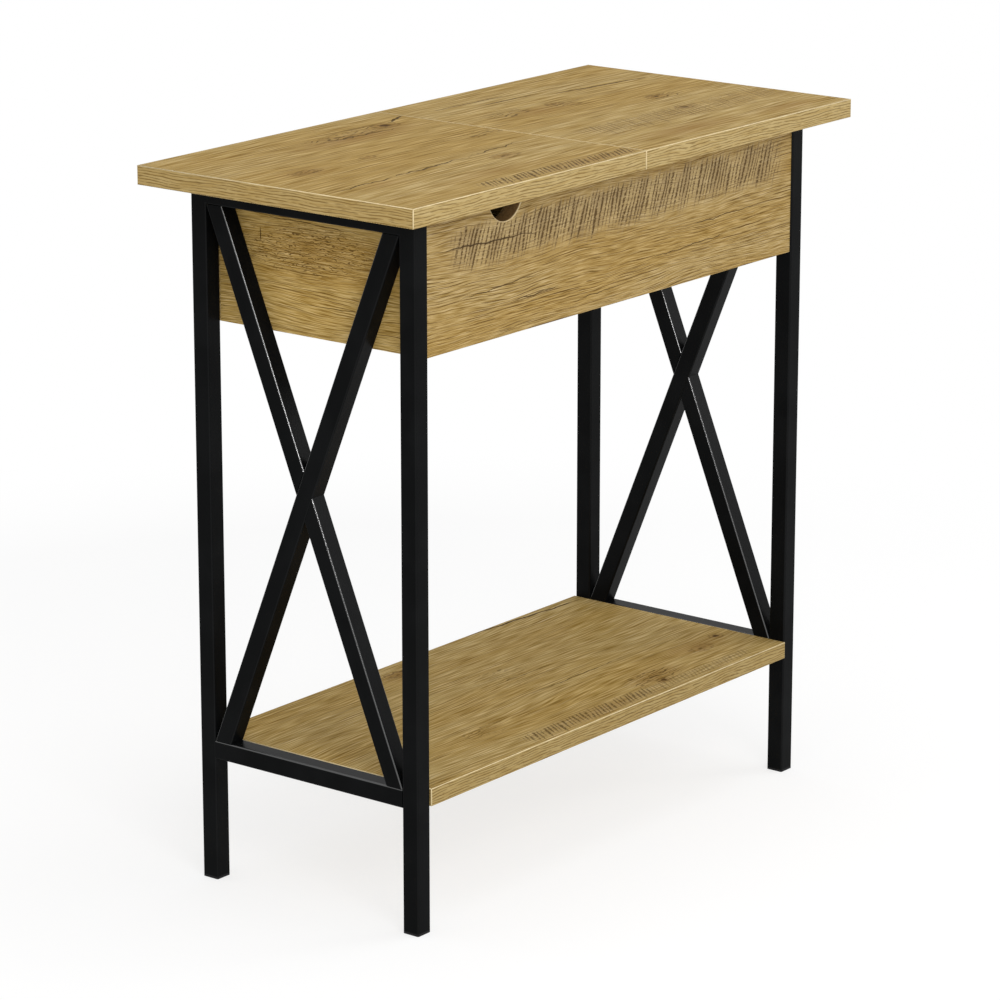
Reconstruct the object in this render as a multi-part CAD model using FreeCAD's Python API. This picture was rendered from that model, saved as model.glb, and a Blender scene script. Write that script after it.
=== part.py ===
import FreeCAD, Part
import os
from math import atan2, degrees, sqrt

from FreeCAD import Vector

# The table in millimetres: X along its length, Y from front to back, Z up,
# origin on the floor under its middle.

# Overall sizes
table_length = 603.25
table_depth = 285.75
shelf_clearance = 107.95
bay_height = 355.6
box_height = 115.05

# Boards
top_thickness = 16.0
shelf_thickness = 15.0
panel_thickness = 15.0
bottom_thickness = 9.0
edge_band = 0.8
seam_gap = 0.5
end_overhang = 34.0
side_overhang = 26.5
apron_setback = 1.5
shelf_proud = 1.5
bottom_raise = 6.0
groove_depth = 4.0
groove_clearance = 0.2
notch_radius = 21.5

# Steel frames
tube_size = 16.0
tube_wall = 1.2
tube_corner_radius = 1.5
foot_thickness = 2.0
foot_stem = 12.0
foot_clearance = 0.15
tab_thickness = 2.0
tab_width = 9.0
tab_reach = 24.0
tab_recess = 4.6
tab_clearance = 0.5

# Hinges under the rear edge of the lid
hinge_inset = 25.0
leaf_length = 40.0
leaf_width = 16.0
leaf_thickness = 1.5
knuckle_radius = 3.5
knuckle_gap = 0.3
knuckle_clearance = 0.5
pin_radius = 1.5
pin_clearance = 0.05
pin_fit = 0.02
pin_head_radius = 2.3
pin_head_height = 0.8
leaf_screw_inset = 6.0

# Fasteners
screw_skin = 5.0
hinge_screw_radius = 1.55
tab_screw_radius = 2.0
tab_screw_inset = 14.0
top_screw_radius = 2.0
top_screw_inset = 60.0
pan_head_radius = 4.0
pan_head_height = 2.4
bolt_radius = 2.9
bolt_head_radius = 5.0
bolt_head_height = 3.5
bolt_inset = 30.0
nut_radius = 4.5
nut_room = 2.6
dowel_radius = 4.0
dowel_skin = 5.0
dowel_long = 20.0
dowel_inset = 20.0
top_dowel_inset = 40.0
cam_radius = 7.5
cam_skin = 3.0
cam_setback = 24.0
cam_bolt_radius = 3.0
cam_bolt_grip = 10.0
hole_clearance = 0.1

# Levels and faces worked out from the sizes above
frame_x = table_length / 2 - end_overhang
frame_y = table_depth / 2 - side_overhang
inner_x = frame_x - tube_size
inner_y = frame_y - tube_size
shelf_top = shelf_clearance + shelf_thickness
low_rail_bottom = shelf_top - tube_size
box_bottom = shelf_top + bay_height
top_bottom = box_bottom + box_height
table_height = top_bottom + top_thickness
rail_bottom = top_bottom - tube_size
apron_outer = frame_y - apron_setback
apron_inner = apron_outer - panel_thickness
panel_inner_x = inner_x - panel_thickness
floor_bottom = box_bottom + bottom_raise
floor_top = floor_bottom + bottom_thickness
lid_left = -table_length / 2
lid_right = -seam_gap / 2
lid_middle = (lid_left + lid_right) / 2
hinge_y = apron_outer + knuckle_radius + knuckle_clearance
hinge_z = top_bottom - knuckle_radius - knuckle_clearance
nut_length = tube_size - 2 * tube_wall - nut_room
cam_depth = panel_thickness - cam_skin
hinge_screw_length = leaf_thickness + min(panel_thickness, top_thickness) - screw_skin
tab_screw_length = tab_thickness + shelf_thickness - tab_recess - screw_skin
top_screw_length = tube_size + top_thickness - screw_skin

along_x = Vector(1, 0, 0)
along_y = Vector(0, 1, 0)
along_z = Vector(0, 0, 1)


def block(x0, x1, y0, y1, z0, z1):
    return Part.makeBox(x1 - x0, y1 - y0, z1 - z0, Vector(x0, y0, z0))


def rod(radius, length, start, direction):
    return Part.makeCylinder(radius, length, start, direction)


def single(shape):
    return shape.Solids[0]


def mirrored(shape):
    return shape.mirror(Vector(0, 0, 0), along_x)


def without(shape, cutters):
    for cutter in cutters:
        shape = shape.cut(cutter)
    return single(shape)


# A square tube with rounded corners, upright on the origin
def square_tube(length):
    half = tube_size / 2
    outer = block(-half, half, -half, half, 0, length)
    corners = [edge for edge in outer.Edges if abs(edge.tangentAt(edge.FirstParameter).z) > 0.9]
    outer = outer.makeFillet(tube_corner_radius, corners)
    bore = half - tube_wall
    return outer.cut(block(-bore, bore, -bore, bore, 0, length))


# A wedge that mitres the corner between a leg (keep_leg) or a top rail and its neighbour
def mitre_wedge(side, keep_leg):
    outer = Vector(-frame_x, side * frame_y, top_bottom)
    inner = Vector(-frame_x, side * inner_y, rail_bottom)
    if keep_leg:
        third = Vector(-frame_x, side * inner_y, top_bottom)
    else:
        third = Vector(-frame_x, side * frame_y, rail_bottom)
    face = Part.Face(Part.makePolygon([outer, inner, third, outer]))
    return face.extrude(along_x * tube_size)


def left_leg(side):
    leg = square_tube(top_bottom - foot_thickness)
    leg.translate(Vector(-frame_x + tube_size / 2, side * (frame_y - tube_size / 2), foot_thickness))
    return without(leg, [mitre_wedge(side, True)])


def left_foot(side):
    x0 = -frame_x
    y0 = side * (frame_y - tube_size / 2)
    half = tube_size / 2
    flange = block(x0, x0 + tube_size, y0 - half, y0 + half, 0, foot_thickness)
    corners = [edge for edge in flange.Edges if abs(edge.tangentAt(edge.FirstParameter).z) > 0.9]
    flange = flange.makeFillet(tube_corner_radius, corners)
    plug = half - tube_wall - foot_clearance
    middle = x0 + half
    stem_top = foot_thickness + foot_stem
    stem = block(middle - plug, middle + plug, y0 - plug, y0 + plug, foot_thickness, stem_top)
    return single(flange.fuse(stem).removeSplitter())


def rail_along_y(half_length, bottom):
    rail = square_tube(2 * half_length)
    rail.rotate(Vector(0, 0, 0), along_x, -90)
    rail.translate(Vector(-frame_x + tube_size / 2, -half_length, bottom + tube_size / 2))
    return rail


def left_top_rail():
    rail = rail_along_y(frame_y, rail_bottom)
    cutters = [mitre_wedge(side, False) for side in (-1, 1)]
    for start in bolt_starts():
        cutters.append(rod(nut_radius + hole_clearance, nut_length, start, -along_x))
    return without(rail, cutters)


def right_top_rail():
    cutters = []
    for y in top_screw_places():
        start = Vector(inner_x + tube_size / 2, y, rail_bottom)
        cutters.append(rod(top_screw_radius + hole_clearance, tube_size, start, along_z))
    return without(mirrored(left_top_rail()), cutters)


def left_bottom_rail():
    return single(rail_along_y(inner_y, low_rail_bottom))


# The X brace: each bar lands on the rails with one edge in the frame's corner
def brace_bar(lean, hollow):
    opening_height = rail_bottom - shelf_top
    opening_width = 2 * inner_y
    diagonal = sqrt(opening_height ** 2 + opening_width ** 2 - tube_size ** 2)
    landing = tube_size * (opening_height * diagonal - tube_size * opening_width)
    landing = landing / (opening_height ** 2 - tube_size ** 2)
    reach = diagonal + 2 * opening_width
    half = tube_size / 2
    if hollow:
        bar = square_tube(reach)
    else:
        bar = block(-half, half, -half, half, 0, reach)
    bar.translate(Vector(0, 0, -reach / 2))
    angle = degrees(atan2(opening_width - landing, opening_height))
    bar.rotate(Vector(0, 0, 0), along_x, -lean * angle)
    bar.translate(Vector(-frame_x + half, 0, (rail_bottom + shelf_top) / 2))
    opening = block(-frame_x, -inner_x, -inner_y, inner_y, shelf_top, rail_bottom)
    return bar.common(opening)


def left_braces():
    long_bar = single(brace_bar(-1, True))
    halves = brace_bar(1, True).cut(brace_bar(-1, False)).Solids
    halves.sort(key=lambda solid: solid.CenterOfMass.z)
    return long_bar, halves[0], halves[1]


# Tabs welded to the inner faces of the legs, let into the undersides of the box and the shelf
def left_tab_places(level):
    tab_middle = (inner_y + apron_outer) / 2
    return [Vector(-inner_x, side * tab_middle, level + tab_recess) for side in (-1, 1)]


def all_left_tab_places():
    return left_tab_places(box_bottom) + left_tab_places(shelf_clearance)


def left_tab(place):
    y0 = place.y - tab_width / 2
    tab = block(place.x, place.x + tab_reach, y0, y0 + tab_width, place.z - tab_thickness, place.z)
    hole = rod(tab_screw_radius + hole_clearance, tab_thickness, place + tab_screw_shift(), along_z)
    return without(tab, [hole])


# Recesses that hide the tabs and their screw heads in boards whose underside is at this level
def tab_recesses(level):
    recesses = []
    half = tab_width / 2 + tab_clearance
    for place in left_tab_places(level):
        x1 = place.x + tab_reach + tab_clearance
        recesses.append(block(place.x, x1, place.y - half, place.y + half, level, place.z))
    return both_ends(recesses)


def tab_screw_shift():
    return Vector(tab_screw_inset, 0, -tab_thickness)


def tab_screw(place):
    start = place + tab_screw_shift()
    head = rod(pan_head_radius, pan_head_height, start, -along_z)
    shank = rod(tab_screw_radius, tab_screw_length, start, along_z)
    return single(head.fuse(shank).removeSplitter())


def tab_screw_hole(place):
    return rod(tab_screw_radius + hole_clearance, tab_screw_length, place + tab_screw_shift(), along_z)


# Both ends of a list of shapes or holes made for the left end
def both_ends(shapes):
    return shapes + [mirrored(shape) for shape in shapes]


# Bolts through the end panels into insert nuts in the top rails
def bolt_starts():
    y = inner_y - bolt_inset
    return [Vector(-inner_x, side * y, rail_bottom + tube_size / 2) for side in (-1, 1)]


def insert_nut(start):
    nut = rod(nut_radius, nut_length, start, -along_x)
    return without(nut, [rod(bolt_radius + hole_clearance, nut_length, start, -along_x)])


def box_bolt(start):
    head_seat = start + along_x * panel_thickness
    head = rod(bolt_head_radius, bolt_head_height, head_seat, along_x)
    shank = rod(bolt_radius, panel_thickness + nut_length, head_seat, -along_x)
    return single(head.fuse(shank).removeSplitter())


# Where the panels across the box meet the aprons: middle of the panel's thickness, and side
def panel_joints():
    middle = inner_x - panel_thickness / 2
    return [(x, side) for x in (-middle, 0, middle) for side in (-1, 1)]


def dowel_levels():
    return (floor_top + dowel_inset, top_bottom - dowel_inset)


def cross_dowels(clearance):
    dowels = []
    depth = panel_thickness - dowel_skin
    for x, side in panel_joints():
        for level in dowel_levels():
            start = Vector(x, side * (apron_inner + depth), level)
            dowels.append(rod(dowel_radius + clearance, depth + dowel_long, start, along_y * -side))
    return dowels


def cam_level():
    low, high = dowel_levels()
    return (low + high) / 2


def cam_bolts(clearance):
    bolts = []
    reach = cam_bolt_grip + cam_setback - cam_radius
    for x, side in panel_joints():
        start = Vector(x, side * (apron_inner + cam_bolt_grip), cam_level())
        bolts.append(rod(cam_bolt_radius + clearance, reach, start, along_y * -side))
    return bolts


# Cam nuts are set in the panel's face that looks into the box
def cam_nuts(clearance):
    cams = []
    for x, side in panel_joints():
        facing = -1 if x > 0 else 1
        start = Vector(x + facing * panel_thickness / 2, side * (apron_inner - cam_setback), cam_level())
        cams.append(rod(cam_radius + clearance, cam_depth, start, along_x * -facing))
    return cams


def panel_fitting_holes():
    return cross_dowels(hole_clearance) + cam_bolts(hole_clearance) + cam_nuts(hole_clearance)


# The box floor, let into grooves in the aprons and end panels
def box_floor(clearance):
    x = panel_inner_x + groove_depth
    y = apron_inner + groove_depth
    return block(-x, x, -y, y, floor_bottom, floor_top + clearance)


def left_end_panel():
    panel = block(-inner_x, -panel_inner_x, -apron_inner, apron_inner, box_bottom, top_bottom)
    cutters = panel_fitting_holes() + [box_floor(groove_clearance)]
    for start in bolt_starts():
        cutters.append(rod(bolt_radius + hole_clearance, panel_thickness, start, along_x))
    return without(panel, cutters)


def divider():
    half = panel_thickness / 2
    board = block(-half, half, -apron_inner, apron_inner, floor_top, top_bottom)
    return without(board, panel_fitting_holes())


# Dowels between the aprons and the fixed top
def top_dowels(clearance):
    dowels = []
    middle_y = (apron_inner + apron_outer) / 2
    length = dowel_long + top_thickness - dowel_skin
    for x in (panel_thickness / 2 + top_dowel_inset, panel_inner_x - top_dowel_inset):
        for side in (-1, 1):
            start = Vector(x, side * middle_y, top_bottom - dowel_long)
            dowels.append(rod(dowel_radius + clearance, length, start, along_z))
    return dowels


def apron(side):
    y0, y1 = sorted((side * apron_inner, side * apron_outer))
    board = block(-inner_x, inner_x, y0, y1, box_bottom, top_bottom)
    cutters = [box_floor(groove_clearance)] + panel_fitting_holes() + top_dowels(hole_clearance)
    cutters += tab_recesses(box_bottom)
    cutters += both_ends([tab_screw_hole(place) for place in left_tab_places(box_bottom)])
    return without(board, cutters)


def front_apron():
    start = Vector(lid_middle, -apron_outer, top_bottom)
    return without(apron(-1), [rod(notch_radius, panel_thickness, start, along_y)])


def back_apron():
    return without(apron(1), apron_leaf_screws(hole_clearance))


# A board with its four edge bands
def banded_board(x0, x1, y0, y1, z0, z1):
    core = block(x0 + edge_band, x1 - edge_band, y0 + edge_band, y1 - edge_band, z0, z1)
    bands = [
        block(x0, x1, y0, y0 + edge_band, z0, z1),
        block(x0, x1, y1 - edge_band, y1, z0, z1),
        block(x0, x0 + edge_band, y0 + edge_band, y1 - edge_band, z0, z1),
        block(x1 - edge_band, x1, y0 + edge_band, y1 - edge_band, z0, z1),
    ]
    return core, Part.makeCompound(bands)


def shelf():
    y = frame_y + shelf_proud
    core, bands = banded_board(-inner_x, inner_x, -y, y, shelf_clearance, shelf_top)
    recesses = tab_recesses(shelf_clearance)
    holes = both_ends([tab_screw_hole(place) for place in left_tab_places(shelf_clearance)])
    bands = Part.makeCompound([without(band, recesses) for band in bands.Solids])
    return without(core, recesses + holes), bands


def lid():
    half = table_depth / 2
    core, bands = banded_board(lid_left, lid_right, -half, half, top_bottom, table_height)
    return without(core, lid_leaf_screws(hole_clearance)), bands


def fixed_top():
    half = table_depth / 2
    core, bands = banded_board(-lid_right, -lid_left, -half, half, top_bottom, table_height)
    return without(core, top_dowels(hole_clearance) + top_screw_shanks(hole_clearance)), bands


# Screws up through the right top rail into the fixed top
def top_screw_places():
    y = inner_y - top_screw_inset
    return (-y, y)


def top_screw_shanks(clearance):
    x = inner_x + tube_size / 2
    radius = top_screw_radius + clearance
    return [rod(radius, top_screw_length, Vector(x, y, rail_bottom), along_z) for y in top_screw_places()]


def top_screws():
    screws = []
    for shank in top_screw_shanks(0):
        centre = shank.CenterOfMass
        head = rod(pan_head_radius, pan_head_height, Vector(centre.x, centre.y, rail_bottom), -along_z)
        screws.append(single(head.fuse(shank).removeSplitter()))
    return Part.makeCompound(screws)


# Butt hinges: two outer knuckles on the apron leaf, the middle one on the lid leaf
def hinge_middles():
    inset = hinge_inset + leaf_length / 2
    return (-inner_x + inset, lid_right - inset)


def knuckle_spans(middle):
    start = middle - leaf_length / 2
    knuckle = (leaf_length - 2 * knuckle_gap) / 3
    step = knuckle + knuckle_gap
    return [(start + index * step, start + index * step + knuckle) for index in range(3)]


def knuckle_rod(span, radius):
    return rod(radius, span[1] - span[0], Vector(span[0], hinge_y, hinge_z), along_x)


# Room that the other leaf's knuckle needs at a leaf's edge
def knuckle_room(span):
    room = (span[0] - knuckle_gap, span[1] + knuckle_gap)
    return knuckle_rod(room, knuckle_radius + 2 * knuckle_clearance)


def leaf_screw_xs(middle):
    pitch = leaf_length / 2 - leaf_screw_inset
    return [middle + index * pitch for index in (-1, 0, 1)]


# A countersunk screw whose flat head faces away from its direction
def hinge_screw(face, direction, clearance):
    shank_radius = hinge_screw_radius + clearance
    head_radius = shank_radius + leaf_thickness
    head = Part.makeCone(head_radius, shank_radius, leaf_thickness, face, direction)
    shank = rod(shank_radius, hinge_screw_length, face, direction)
    return single(head.fuse(shank).removeSplitter())


def apron_leaf_screws(clearance):
    screws = []
    for middle in hinge_middles():
        for x in leaf_screw_xs(middle):
            face = Vector(x, apron_outer + leaf_thickness, hinge_z - leaf_width + leaf_screw_inset)
            screws.append(hinge_screw(face, -along_y, clearance))
    return screws


def lid_leaf_screws(clearance):
    screws = []
    for middle in hinge_middles():
        for x in leaf_screw_xs(middle):
            face = Vector(x, hinge_y + leaf_width - leaf_screw_inset, top_bottom - leaf_thickness)
            screws.append(hinge_screw(face, along_z, clearance))
    return screws


def apron_leaf(middle):
    half = leaf_length / 2
    spans = knuckle_spans(middle)
    y1 = apron_outer + leaf_thickness
    plate = block(middle - half, middle + half, apron_outer, y1, hinge_z - leaf_width, hinge_z)
    leaf = plate.cut(knuckle_room(spans[1]))
    for span in (spans[0], spans[2]):
        leaf = leaf.fuse(knuckle_rod(span, knuckle_radius))
        leaf = leaf.cut(knuckle_rod(span, pin_radius + pin_fit))
    return without(leaf.removeSplitter(), apron_leaf_screws(hole_clearance))


def lid_leaf(middle):
    half = leaf_length / 2
    spans = knuckle_spans(middle)
    z0 = top_bottom - leaf_thickness
    leaf = block(middle - half, middle + half, hinge_y, hinge_y + leaf_width, z0, top_bottom)
    for span in (spans[0], spans[2]):
        leaf = leaf.cut(knuckle_room(span))
    leaf = leaf.fuse(knuckle_rod(spans[1], knuckle_radius))
    leaf = leaf.cut(knuckle_rod(spans[1], pin_radius + pin_clearance))
    return without(leaf.removeSplitter(), lid_leaf_screws(hole_clearance))


def hinge_pin(middle):
    spans = knuckle_spans(middle)
    span = (spans[0][0], spans[2][1])
    pin = knuckle_rod(span, pin_radius)
    for x, direction in ((span[0], -along_x), (span[1], along_x)):
        pin = pin.fuse(rod(pin_head_radius, pin_head_height, Vector(x, hinge_y, hinge_z), direction))
    return single(pin.removeSplitter())


def frame_nodes():
    nodes = {}
    long_bar, lower_bar, upper_bar = left_braces()
    tab_places = all_left_tab_places()
    left = {
        "front_leg": left_leg(-1),
        "back_leg": left_leg(1),
        "front_foot": left_foot(-1),
        "back_foot": left_foot(1),
        "bottom_rail": left_bottom_rail(),
        "long_brace": long_bar,
        "lower_brace": lower_bar,
        "upper_brace": upper_bar,
        "tabs": Part.makeCompound([left_tab(place) for place in tab_places]),
        "rail_nuts": Part.makeCompound([insert_nut(start) for start in bolt_starts()]),
    }
    for name, shape in left.items():
        nodes["left_" + name] = shape
        nodes["right_" + name] = mirrored(shape)
    nodes["left_top_rail"] = left_top_rail()
    nodes["right_top_rail"] = right_top_rail()
    return nodes


def box_nodes():
    end_panel = left_end_panel()
    bolts = [box_bolt(start) for start in bolt_starts()]
    screws = [tab_screw(place) for place in all_left_tab_places()]
    return {
        "front_apron": front_apron(),
        "back_apron": back_apron(),
        "left_end_panel": end_panel,
        "right_end_panel": mirrored(end_panel),
        "divider": divider(),
        "bottom_panel": single(box_floor(0)),
        "panel_dowels": Part.makeCompound(cross_dowels(0)),
        "cam_bolts": Part.makeCompound(cam_bolts(0)),
        "cam_nuts": Part.makeCompound(cam_nuts(0)),
        "box_bolts": Part.makeCompound(both_ends(bolts)),
        "tab_screws": Part.makeCompound(both_ends(screws)),
    }


def board_nodes():
    nodes = {}
    for name, (core, bands) in (("shelf", shelf()), ("lid", lid()), ("fixed_top", fixed_top())):
        nodes[name + "_board"] = core
        nodes[name + "_edge_bands"] = bands
    nodes["fixed_top_dowels"] = Part.makeCompound(top_dowels(0))
    nodes["fixed_top_screws"] = top_screws()
    return nodes


def hinge_nodes():
    nodes = {
        "apron_hinge_screws": Part.makeCompound(apron_leaf_screws(0)),
        "lid_hinge_screws": Part.makeCompound(lid_leaf_screws(0)),
    }
    for name, middle in zip(("left_hinge", "right_hinge"), hinge_middles()):
        nodes[name + "_apron_leaf"] = apron_leaf(middle)
        nodes[name + "_lid_leaf"] = lid_leaf(middle)
        nodes[name + "_pin"] = hinge_pin(middle)
    return nodes


def all_nodes():
    nodes = frame_nodes()
    nodes.update(box_nodes())
    nodes.update(board_nodes())
    nodes.update(hinge_nodes())
    return nodes


os.makedirs("parts", exist_ok=True)
for node_name, node_shape in all_nodes().items():
    node_shape.exportStep("parts/" + node_name + ".step")
    print(node_name, len(node_shape.Solids), "solids", round(node_shape.Volume), "mm3")
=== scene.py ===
from math import pi, radians

import bmesh
import bpy
from mathutils import Matrix, Vector


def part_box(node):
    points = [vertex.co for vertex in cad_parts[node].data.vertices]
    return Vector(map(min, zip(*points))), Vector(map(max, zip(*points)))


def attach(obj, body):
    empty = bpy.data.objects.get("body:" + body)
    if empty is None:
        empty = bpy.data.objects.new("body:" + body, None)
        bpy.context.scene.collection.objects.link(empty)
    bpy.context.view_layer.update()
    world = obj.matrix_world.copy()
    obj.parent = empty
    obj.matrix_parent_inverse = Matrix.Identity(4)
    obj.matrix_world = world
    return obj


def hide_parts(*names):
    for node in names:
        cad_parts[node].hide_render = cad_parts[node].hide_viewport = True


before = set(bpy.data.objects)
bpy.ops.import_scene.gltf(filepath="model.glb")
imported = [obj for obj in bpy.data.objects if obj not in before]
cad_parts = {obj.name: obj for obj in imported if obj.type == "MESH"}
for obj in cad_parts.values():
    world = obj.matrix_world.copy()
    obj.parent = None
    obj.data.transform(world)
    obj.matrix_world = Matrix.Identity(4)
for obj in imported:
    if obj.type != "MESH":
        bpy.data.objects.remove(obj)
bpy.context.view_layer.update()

mm = 0.001
weld = 0.001 * mm
print("frame loaded with", len(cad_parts), "nodes")


# Small helpers for building shader graphs
def plug(tree, socket, value):
    if isinstance(value, bpy.types.NodeSocket):
        tree.links.new(value, socket)
    else:
        socket.default_value = value


def addNode(tree, kind, inputs, **settings):
    made = tree.nodes.new("ShaderNode" + kind)
    for name, value in settings.items():
        setattr(made, name, value)
    for key, value in inputs.items():
        plug(tree, made.inputs[key], value)
    return made


def calc(tree, operation, first, second=0.0, third=0.0):
    return addNode(tree, "Math", {0: first, 1: second, 2: third}, operation=operation).outputs[0]


def vectorCalc(tree, operation, first, second):
    return addNode(tree, "VectorMath", {0: first, 1: second}, operation=operation).outputs[0]


def distance(tree, vector):
    return addNode(tree, "VectorMath", {0: vector}, operation="LENGTH").outputs[1]


# 0 at start, 1 at end, soft between
def fade(tree, value, start, end):
    made = addNode(tree, "MapRange", {0: value, 1: start, 2: end}, interpolation_type="SMOOTHSTEP")
    return made.outputs[0]


def limited(tree, value, low, high):
    return addNode(tree, "Clamp", {0: value, 1: low, 2: high}).outputs[0]


# Squeezes 0 to 1 into least to 1
def atLeast(tree, value, least):
    return calc(tree, "MULTIPLY_ADD", value, 1 - least, least)


def blend(tree, factor, first, second, mode="MIX"):
    made = addNode(tree, "Mix", {0: factor, 6: first, 7: second}, data_type="RGBA", blend_type=mode)
    return made.outputs[2]


# Lays a share of the paint over a colour where the mask is
def painted(tree, color, mask, share, paint):
    return blend(tree, calc(tree, "MULTIPLY", mask, share), color, paint)


# Noise whose cells have this size in millimetres
def grain(tree, vector, size, detail=2.0, roughness=0.5):
    cells = vectorCalc(tree, "DIVIDE", vector, size)
    made = addNode(tree, "TexNoise", {
        "Vector": cells, "Scale": 1.0, "Detail": detail, "Roughness": roughness})
    return made.outputs[0]


# The same noise as a push of at most this reach to either side
def sway(tree, vector, size, reach, detail=1.0):
    return calc(tree, "MULTIPLY_ADD", grain(tree, vector, size, detail), 2 * reach, -reach)


def axes(tree, vector):
    return addNode(tree, "SeparateXYZ", {0: vector}).outputs


def joined(tree, x, y, z):
    return addNode(tree, "CombineXYZ", {0: x, 1: y, 2: z}).outputs[0]


# Distance from the nearest of evenly spaced lines
def lineGap(tree, across, spacing):
    turn = calc(tree, "FRACT", calc(tree, "DIVIDE", across, spacing))
    return calc(tree, "MULTIPLY", calc(tree, "ABSOLUTE", calc(tree, "SUBTRACT", turn, 0.5)), spacing)


# Lines whose half width follows a noise, so that they swell, thin out and break; the core is a share of it
lineCore = 0.3


def brokenLines(tree, gap, noise, level, gain, widest):
    width = calc(tree, "MULTIPLY", calc(tree, "SUBTRACT", noise, level), gain)
    width = limited(tree, width, 0.0, widest)
    return fade(tree, gap, width, calc(tree, "MULTIPLY", width, lineCore))


def newGroup(name, inputs, outputs):
    tree = bpy.data.node_groups.new(name, "ShaderNodeTree")
    for label, kind in inputs.items():
        tree.interface.new_socket(label, in_out="INPUT", socket_type="NodeSocket" + kind)
    for label, kind in outputs.items():
        tree.interface.new_socket(label, in_out="OUTPUT", socket_type="NodeSocket" + kind)
    given = tree.nodes.new("NodeGroupInput").outputs
    result = tree.nodes.new("NodeGroupOutput").inputs
    return tree, given, result


def useGroup(tree, group, inputs):
    return addNode(tree, "Group", inputs, node_tree=group).outputs


def newMaterial(name, values):
    material = bpy.data.materials.new(name)
    material.use_nodes = True
    tree = material.node_tree
    shader = tree.nodes["Principled BSDF"]
    for label, value in values.items():
        shader.inputs[label].default_value = value
    return material, tree, shader


# Object coordinates in millimetres, turned so that X runs along the grain or along a board's face
def coordsIn(tree, turn):
    source = addNode(tree, "TexCoord", {}).outputs["Object"]
    made = addNode(tree, "Mapping", {
        "Vector": source, "Rotation": [radians(angle) for angle in turn],
        "Scale": (1 / mm, 1 / mm, 1 / mm)})
    return made.outputs[0]


def placed(tree, coords, middle, angle, scale=(1, 1, 1)):
    made = addNode(tree, "Mapping", {
        "Vector": coords, "Location": (*middle, 0), "Rotation": (0, 0, radians(angle)), "Scale": scale,
    }, vector_type="TEXTURE")
    return made.outputs[0]


def finishSurface(tree, shader, color, roughness, height, depth, strength):
    plug(tree, shader.inputs["Base Color"], color)
    plug(tree, shader.inputs["Roughness"], roughness)
    bump = addNode(tree, "Bump", {"Height": height, "Distance": depth, "Strength": strength})
    plug(tree, shader.inputs["Normal"], bump.outputs[0])


# In the looks below, a grain is a noise's cell in millimetres, its detail and its roughness. A sway is a
# cell, a reach and a detail. A fade is where it starts and ends. A body is the level, gain and widest half
# width of broken lines. A bump is its depth and strength.

# Printed oak of the boards: pale and golden tones, streaks, fibres, long broken lines and fine ones
oakLook = {
    "pale": (0.470, 0.330, 0.122, 1),
    "warm": (0.428, 0.280, 0.082, 1),
    "dark": (0.088, 0.038, 0.003, 1),
    "light": (0.600, 0.470, 0.230, 1),
    "seedAlong": 731.0,
    "seedAcross": 97.0,
    "sways": [((210, 50, 1), 10.0), ((46, 12, 1), 1.6), ((9, 3, 1), 0.25)],
    "toneGrain": ((280, 26, 1), 2.0),
    "toneFade": (0.34, 0.68),
    "streakGrain": ((85, 2.4, 1), 3.0, 0.62),
    "streak": 0.28,
    "fibreGrain": ((22, 0.75, 1), 1.0),
    "fibre": 1.90,
    "leastShade": 0.1,
    "deepen": (1.0, 1.25, 2.2),
    "crowdGrain": ((120, 14, 1), 2.0),
    "crowdFade": (0.36, 0.64),
    "leastCrowd": 0.40,
    "lineSpacing": 4.6,
    "lineGrain": ((48, 2.8, 1), 2.0),
    "lineBody": (0.50, 3.6, 0.44),
    "line": 0.85,
    "rimPlace": 1.0,
    "rimBody": (0.53, 4.0, 0.45),
    "rim": 0.35,
    "fineSpacing": 2.6,
    "fineGrain": ((34, 1.7, 1), 2.0),
    "fineBody": (0.42, 3.2, 0.56),
    "fineLine": 0.85,
    "fineDepth": 0.5,
    "roughness": 0.48,
    "streakRoughness": 0.14,
    "lineRoughness": 0.15,
    "streakHeight": 0.4,
    "bump": (0.25 * mm, 0.5),
}


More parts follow.
